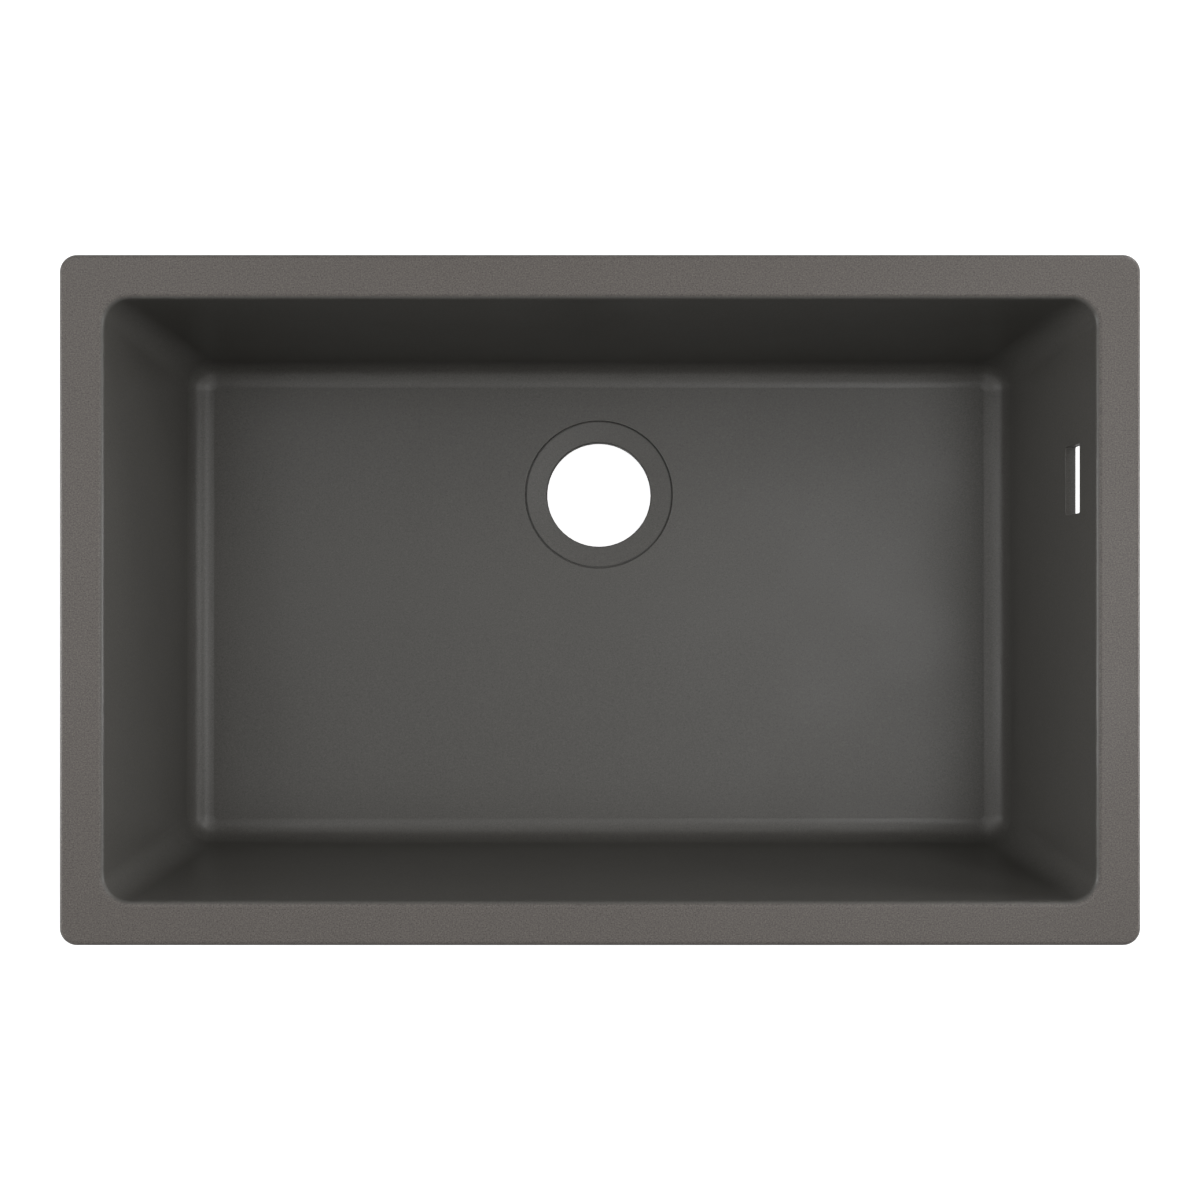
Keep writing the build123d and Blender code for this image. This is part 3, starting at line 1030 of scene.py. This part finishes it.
# %% [markdown]
# ## Granite composite
#
# The three tones are mixed by the masks, and the grain then lightens and darkens the result. The
# skin is matt but not dull: a roughness near a third keeps a broad soft sheen where the floor
# turns up into the walls. A very shallow bump breaks that sheen up grain by grain.


# %% Start a material
def new_material(name):
    """A material with its shader and the place of each point."""
    material = bpy.data.materials.new(name)
    material.use_nodes = True
    tree = material.node_tree
    place = tree.nodes.new("ShaderNodeTexCoord").outputs["Object"]
    return material, tree, tree.nodes["Principled BSDF"], place


def roughen(tree, shader, height, strength, distance):
    """Feeds a height through a Bump node into a shader's normal."""
    bump = add_node(tree, "ShaderNodeBump", Height=height, Strength=strength, Distance=distance)
    plug(tree, bump.outputs["Normal"], shader.inputs["Normal"])


# %% Mix the stone
BOWL_TONE = (0.1145, 0.1105, 0.102, 1)
# The rim's top face is set lighter and warmer than the bowl.
RIM_FACE_TONE = (0.151, 0.135, 0.1225, 1)
OUTSIDE_TONE = (0.105, 0.101, 0.096, 1)
GRAIN_SIZE = 0.9 * MM
BOWL_MOTTLE = 1.0
RIM_FACE_MOTTLE = 2.8
STONE_SHEEN = 0.375
OUTSIDE_ROUGHNESS = 0.6
GRAIN_BUMP = 0.25
GRAIN_HEIGHT = 0.05 * MM

granite, tree, shader, place = new_material("granite_composite")
faces = place_group(tree, face_group, Place=place)
tone = blend_colours(tree, faces.outputs["Outside"], BOWL_TONE, OUTSIDE_TONE)
tone = blend_colours(tree, faces.outputs["Ground"], tone, RIM_FACE_TONE)
mottle_amount = spread(tree, faces.outputs["Ground"], 0.0, 1.0, BOWL_MOTTLE, RIM_FACE_MOTTLE)
grain = place_group(
    tree, grain_group, Place=place, Size=GRAIN_SIZE, Mottle=mottle_amount, Specks=0.12
)
clouds = place_group(tree, cloud_group, Place=place, Size=0.16, Low=0.98, High=1.02)
shade = maths(tree, "MULTIPLY", grain.outputs["Shade"], clouds.outputs["Value"])
plug(tree, shaded(tree, tone, shade), shader.inputs["Base Color"])
skin = place_group(tree, cloud_group, Place=place, Size=0.09, Low=0.33, High=0.37)
roughness = spread(
    tree, faces.outputs["Outside"], 0.0, 1.0, skin.outputs["Value"], OUTSIDE_ROUGHNESS
)
plug(tree, roughness, shader.inputs["Roughness"])
shader.inputs["Specular IOR Level"].default_value = STONE_SHEEN
roughen(tree, shader, grain.outputs["Relief"], GRAIN_BUMP, GRAIN_HEIGHT)
for holder in frame["nodes"]["bowl"].material_slots:
    holder.material = granite
print(granite.name, "has", len(tree.nodes), "nodes")

# %% [markdown]
# ## Metals
#
# Zinc plating is bright with a faint cool and warm play in its clouds. The pressed clips are
# galvanised, so they show large dim crystals, and the washer has polished a ring round each bolt.
# The inserts are plain turned brass, a little darker where it has dulled. All three share the
# fine rubbing marks of handling, which are noise drawn out thin along one way.

# %% Build the rubbing marks
RUB_STRETCH = (1, 0.08, 0.3)
RUB_TURN = (0.3, 0.2, 0.6)
RUB_FROM = 0.35
RUB_TO = 0.65

rub_group, entry, leaving = new_group(
    "rubbing_marks", [("Place", VECTOR, None), ("Size", FLOAT, 0.001)], ["Marks"]
)
stretched = add_node(
    rub_group,
    "ShaderNodeMapping",
    Vector=entry.outputs["Place"],
    Scale=RUB_STRETCH,
    Rotation=RUB_TURN,
)
marks = add_node(
    rub_group,
    "ShaderNodeTexNoise",
    Vector=stretched.outputs["Vector"],
    Scale=maths(rub_group, "DIVIDE", 1.0, entry.outputs["Size"]),
    Detail=4.0,
    Roughness=0.6,
)
rubbed = spread(rub_group, marks.outputs["Fac"], RUB_FROM, RUB_TO)
plug(rub_group, rubbed, leaving.inputs["Marks"])
print(rub_group.name, "has", len(rub_group.nodes), "nodes")

# %% Plate the steel and turn the brass
MARK_STRENGTH = 0.3


def metal(name, tones, cloud_size, roughness, mark_size, mark_depth):
    """A bare metal in two tones that drift into each other, with rubbing marks in its gloss."""
    material, tree, shader, place = new_material(name)
    shader.inputs["Metallic"].default_value = 1.0
    drift = place_group(tree, cloud_group, Place=place, Size=cloud_size, Low=0.0, High=1.0)
    tone = blend_colours(tree, drift.outputs["Value"], *tones)
    marks = place_group(tree, rub_group, Place=place, Size=mark_size)
    gloss = spread(tree, marks.outputs["Marks"], 0.0, 1.0, *roughness)
    roughen(tree, shader, marks.outputs["Marks"], MARK_STRENGTH, mark_depth)
    plug(tree, tone, shader.inputs["Base Color"])
    plug(tree, gloss, shader.inputs["Roughness"])
    print(name, "has", len(tree.nodes), "nodes")
    return material, tree, shader, place, tone, gloss


zinc = metal(
    "zinc_plate",
    ((0.60, 0.62, 0.66, 1), (0.66, 0.64, 0.58, 1)),
    cloud_size=0.006,
    roughness=(0.24, 0.40),
    mark_size=0.0008,
    mark_depth=0.02 * MM,
)[0]
brass = metal(
    "turned_brass",
    ((0.74, 0.55, 0.26, 1), (0.60, 0.42, 0.19, 1)),
    cloud_size=0.008,
    roughness=(0.26, 0.38),
    mark_size=0.0006,
    mark_depth=0.02 * MM,
)[0]

# %% Galvanise the clips
SPANGLE_SIZE = 5 * MM
CRYSTAL_DIM = 0.86
CRYSTAL_BRIGHT = 1.06
POLISHED_FROM = 4.6 * MM
POLISHED_TO = 6.6 * MM
POLISH_FADE = 0.4 * MM
POLISHED_ROUGHNESS = 0.2

galvanised, tree, shader, place, tone, gloss = metal(
    "galvanised_press_steel",
    ((0.53, 0.54, 0.56, 1), (0.58, 0.58, 0.57, 1)),
    cloud_size=0.012,
    roughness=(0.34, 0.48),
    mark_size=0.001,
    mark_depth=0.03 * MM,
)
crystals = add_node(tree, "ShaderNodeTexVoronoi", Vector=place, Scale=1 / SPANGLE_SIZE)
crystal = add_node(tree, "ShaderNodeSeparateColor", Color=crystals.outputs["Color"])
crystal_shade = spread(tree, crystal.outputs["Red"], 0.0, 1.0, CRYSTAL_DIM, CRYSTAL_BRIGHT)
plug(tree, shaded(tree, tone, crystal_shade), shader.inputs["Base Color"])
bolt_distance = tree.nodes.new("ShaderNodeAttribute")
bolt_distance.attribute_name = "from_bolt"
from_bolt = bolt_distance.outputs["Fac"]
polished = maths(
    tree,
    "MULTIPLY",
    spread(tree, from_bolt, POLISHED_FROM, POLISHED_FROM + POLISH_FADE),
    spread(tree, from_bolt, POLISHED_TO, POLISHED_TO - POLISH_FADE),
)
gloss = spread(tree, polished, 0.0, 1.0, gloss, POLISHED_ROUGHNESS)
plug(tree, gloss, shader.inputs["Roughness"])


# %% Give each metal piece its finish
def finish_with(material, pieces):
    """Gives each piece the material in place of what it had."""
    for piece in pieces:
        piece.data.materials.clear()
        piece.data.materials.append(material)


made = [piece for piece in bpy.data.objects if "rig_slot" in piece]
finish_with(zinc, [piece for piece in made if piece["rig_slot"] == "zinc_steel"])
finish_with(brass, [piece for piece in made if piece["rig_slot"] == "brass"])
finish_with(galvanised, [piece for piece in made if piece["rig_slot"] == "clip_steel"])
print(len(made), "metal pieces finished")

# %% [markdown]
# ## Floor and surroundings
#
# The photograph's ground is pure white, and so is what shows through both openings. More light
# would wash the stone out, so the floor adds a glow of its own to its shading, which only the
# camera, reflections and clear things see. Glow and light together come to white, and under the
# sink, where no light falls, the glow alone is a little darker: that is the shadow. All other
# rays meet an ordinary pale floor. The world does the same. A reflection gets a weaker glow, so
# that it comes to white and no more, and none from under the sink or a hand's width round it,
# where it would make the ends of the overflow slot shine. Under the basin it finds black: the
# lamps reach the floor through the outlet, and the rear wall would mirror that bright spot. From
# below the floor is clear as glass, for whoever looks up at the feet, and it lets through the
# light of a lamp that hangs under it.

# %% Lay the floor
FLOOR_SIZE = 12.0

bpy.ops.object.select_all(action="DESELECT")
bpy.ops.mesh.primitive_plane_add(size=FLOOR_SIZE, location=(0, 0, cad_box[0][2]))
floor = added_piece("studio_floor")
print("floor at height", round(cad_box[0][2], 4))


# %% Tell what a ray is for
def seen_or_mirrored(tree, open_to_light=1.0):
    """1 for camera and transmission rays, as much as is open for glossy ones, and else 0."""
    ray = tree.nodes.new("ShaderNodeLightPath")
    mirrored = maths(tree, "MULTIPLY", ray.outputs["Is Glossy Ray"], open_to_light)
    seen = maths(tree, "MAXIMUM", ray.outputs["Is Camera Ray"], mirrored)
    return maths(tree, "MAXIMUM", seen, ray.outputs["Is Transmission Ray"])


# %% Make the floor pale, glowing and clear from below
FLOOR_SHADE = (0.8, 0.8, 0.8, 1)
FLOOR_ROUGHNESS = 0.9
FLOOR_GLOW = 0.88
MIRROR_SHARE = 0.6
SHADE_MARGIN = 0.12
BLACK = (0, 0, 0, 1)
WHITE = (1, 1, 1, 1)

pale, tree, shader, place = new_material("pale_floor")
shader.inputs["Roughness"].default_value = FLOOR_ROUGHNESS
spot = add_node(tree, "ShaderNodeSeparateXYZ", Vector=place).outputs
past_ends = maths(tree, "SUBTRACT", maths(tree, "ABSOLUTE", spot["X"]), rim_corner.x)
past_sides = maths(tree, "SUBTRACT", maths(tree, "ABSOLUTE", spot["Y"]), rim_corner.y)
past_rim = maths(tree, "MAXIMUM", past_ends, past_sides)
out_of_shade = maths(tree, "GREATER_THAN", past_rim, SHADE_MARGIN)
ray = tree.nodes.new("ShaderNodeLightPath")
under_basin = maths(tree, "LESS_THAN", past_rim, -RIM_REACH)
black_here = maths(tree, "MULTIPLY", under_basin, ray.outputs["Is Glossy Ray"])
plug(tree, blend_colours(tree, black_here, FLOOR_SHADE, BLACK), shader.inputs["Base Color"])
glow = seen_or_mirrored(tree, maths(tree, "MULTIPLY", out_of_shade, MIRROR_SHARE))
plug(tree, maths(tree, "MULTIPLY", glow, FLOOR_GLOW), shader.inputs["Emission Strength"])
shader.inputs["Emission Color"].default_value = WHITE
clear = add_node(tree, "ShaderNodeBsdfTransparent")
from_below = tree.nodes.new("ShaderNodeMixShader")
side = tree.nodes.new("ShaderNodeNewGeometry")
see_through = maths(tree, "MAXIMUM", side.outputs["Backfacing"], ray.outputs["Is Shadow Ray"])
for socket, source in zip(from_below.inputs, (see_through, shader.outputs[0], clear.outputs[0])):
    plug(tree, source, socket)
plug(tree, from_below.outputs[0], tree.nodes["Material Output"].inputs["Surface"])
finish_with(pale, [floor])
print(pale.name, "has", len(tree.nodes), "nodes")

# %% Whiten the world
world = bpy.data.worlds.new("studio")
bpy.context.scene.world = world
world.use_nodes = True
backdrop = world.node_tree.nodes["Background"]
backdrop.inputs["Color"].default_value = WHITE
plug(world.node_tree, seen_or_mirrored(world.node_tree), backdrop.inputs["Strength"])
world.cycles.sampling_method = "NONE"
print(world.name, "has", len(world.node_tree.nodes), "nodes")

# %% [markdown]
# ## Soft lights
#
# Ten soft boxes stand round the sink. A large one overhead lights the rim and the bowl's floor.
# A pair at 60 degrees draws the bright lines along the rounded foot of the end walls, and low
# ones at both ends reach the upper walls. More of the light comes from behind on the right than
# from the front, so the rear wall is the darkest. An eleventh, under the studio floor, shows the
# clips and the feet and reaches nothing that is seen from above. Each is set by how far it leans
# from overhead and which way round it stands, counted from the overflow side towards the outlet.

# %% Place the lamps
LAMP_DISTANCE = 2.4
lamp_plan = {
    # name: (degrees from overhead, degrees round, size in metres, watts)
    "overhead": (0, 0, 2.0, 7.2),
    "high_right": (20, 0, 0.8, 6.4),
    "high_left": (36, 180, 0.8, 3.8),
    "high_rear_left": (36, 135, 0.8, 2.5),
    "middle_rear_right": (48, 45, 0.8, 7.2),
    "middle_right": (60, 0, 0.8, 5.5),
    "middle_left": (60, 180, 0.8, 5.8),
    "low_right": (84, 0, 0.8, 21.5),
    "low_left": (84, 180, 0.8, 23.0),
    "low_rear_right": (84, 45, 0.8, 10.5),
    "underneath": (172, 225, 1.0, 18.0),
}
for lamp_name, (lean, round_about, size, watts) in lamp_plan.items():
    lean, round_about = radians(lean), radians(round_about)
    flat = sin(lean) * LAMP_DISTANCE
    data = bpy.data.lights.new(lamp_name, "AREA")
    data.size = size
    data.energy = watts
    lamp = bpy.data.objects.new(lamp_name, data)
    lamp.location = (flat * cos(round_about), flat * sin(round_about), LAMP_DISTANCE * cos(lean))
    lamp.rotation_euler = lamp.location.to_track_quat("Z", "Y").to_euler()
    lamp.visible_camera = False
    bpy.context.collection.objects.link(lamp)
print(len(lamp_plan), "lamps, watts in all:", sum(plan[3] for plan in lamp_plan.values()))

# %% [markdown]
# ## Bring the scene up to date
#
# The dressed sink is meant to be as large as the CAD model, whose box is printed at the start.

# %% Update the view layer
bpy.context.view_layer.update()
